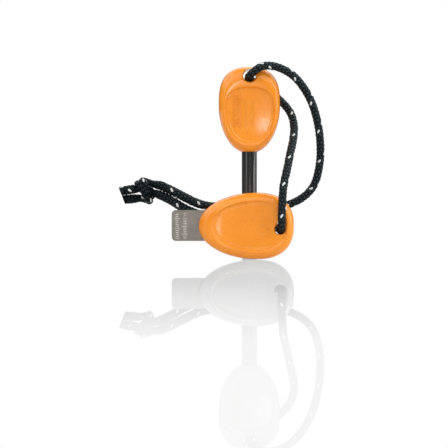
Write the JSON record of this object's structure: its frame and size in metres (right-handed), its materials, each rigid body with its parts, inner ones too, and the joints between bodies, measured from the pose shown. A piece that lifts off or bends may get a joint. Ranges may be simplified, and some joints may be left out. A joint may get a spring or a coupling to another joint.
{
  "type": "fire starter",
  "caption": "Ferrocerium fire starter: a rod in an egg-shaped grip and a steel striker in a matching grip, tied by a braided cord.",
  "frame": {"origin": "centre of the rod's lower end face, which is also the level of the surface that the set stands on", "axes": "+Z along the rod from its free end to its grip, +X to the right seen from the front, on the side where the cord loops, +Y away from the front"},
  "size_m": [0.1028, 0.0351, 0.0975],
  "materials": {
    "orange_plastic": "glossy moulded plastic with a faint darker fleck",
    "ferrocerium": "dark coated rod, satin",
    "blade_steel": "bead-blasted steel, matte",
    "black_cord": "braided sheath with a white tracer yarn",
    "cord_core": "twisted core yarns, matte",
    "cured_glue": "cured epoxy, matte"
  },
  "bodies": {
    "rod_unit": {"rod_handle_front_shell": "orange_plastic", "rod_handle_rear_shell": "orange_plastic", "ferro_rod": "ferrocerium", "rod_adhesive": "cured_glue"},
    "cord_loop": {"cord_bight": "black_cord", "cord_outer_run": "black_cord", "cord_inner_run": "black_cord"},
    "cord_lower": {"cord_outer_crossing": "black_cord", "cord_eye_pass": "black_cord"},
    "striker_unit": {"striker_handle_front_shell": "orange_plastic", "striker_handle_rear_shell": "orange_plastic", "striker_blade": "blade_steel"},
    "cord_tail": {"cord_tail_upper": "black_cord", "cord_tail_lower": "black_cord", "cord_knot": "black_cord", "cord_end_upper": "black_cord", "cord_end_lower": "black_cord", "cord_core_upper": "cord_core", "cord_core_lower": "cord_core"}
  },
  "joints": [
    {"name": "cord_swing", "type": "hinge", "parent": "rod_unit", "child": "cord_loop", "pos_m": [0, 0, 0.091], "axis": [0, -1, 0], "range_deg": [-4, 30], "stiffness_Nm_per_rad": 0.08},
    {"name": "strike", "type": "slide", "parent": "cord_loop", "child": "cord_lower", "axis": [0, 0, 1], "range_m": [0, 0.012], "stiffness_N_per_m": 80, "deforming": ["cord_outer_run", "cord_inner_run"]},
    {"name": "striker_swing", "type": "hinge", "parent": "cord_lower", "child": "striker_unit", "pos_m": [0.0151, -0.01065, 0.015], "axis": [0, 1, 0], "range_deg": [0, 30], "stiffness_Nm_per_rad": 0.04},
    {"name": "tail_swing", "type": "hinge", "parent": "cord_lower", "child": "cord_tail", "pos_m": [-0.014, 0.0072, 0.0236], "axis": [0, 1, 0], "range_deg": [-5, 25], "stiffness_Nm_per_rad": 0.04, "deforming": ["cord_tail_upper", "cord_tail_lower"]}
  ]
}
